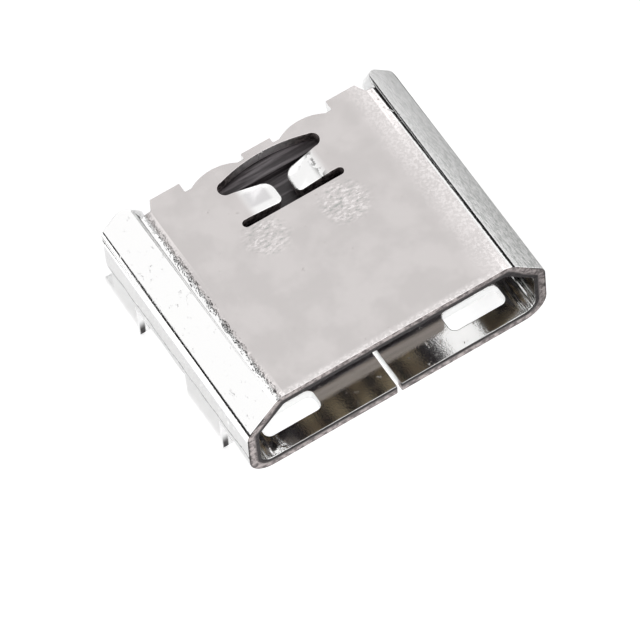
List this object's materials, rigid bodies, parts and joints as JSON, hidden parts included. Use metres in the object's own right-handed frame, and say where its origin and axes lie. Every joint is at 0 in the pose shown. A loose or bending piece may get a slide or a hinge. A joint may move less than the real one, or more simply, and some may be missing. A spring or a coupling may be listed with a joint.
{
  "type": "micro usb socket",
  "caption": "Board-mounted micro USB socket: folded steel shell with anchor cutout and lanced board legs, black moulded insulator and plated contacts.",
  "frame": {"origin": "centre of the footprint, level with the tips of the board legs", "axes": "+X across the mouth, -Y out of the mouth towards the plug, +Z away from the board"},
  "size_m": [0.0074, 0.006, 0.0033],
  "materials": {
    "shell_steel": "satin plated sheet",
    "black_plastic": "matte moulding",
    "gold_plate": "bright gold plating"
  },
  "bodies": {
    "root": {"shell": "shell_steel", "insulator": "black_plastic", "contact_1": "gold_plate", "contact_2": "gold_plate", "contact_3": "gold_plate", "contact_4": "gold_plate", "contact_5": "gold_plate"}
  },
  "joints": []
}
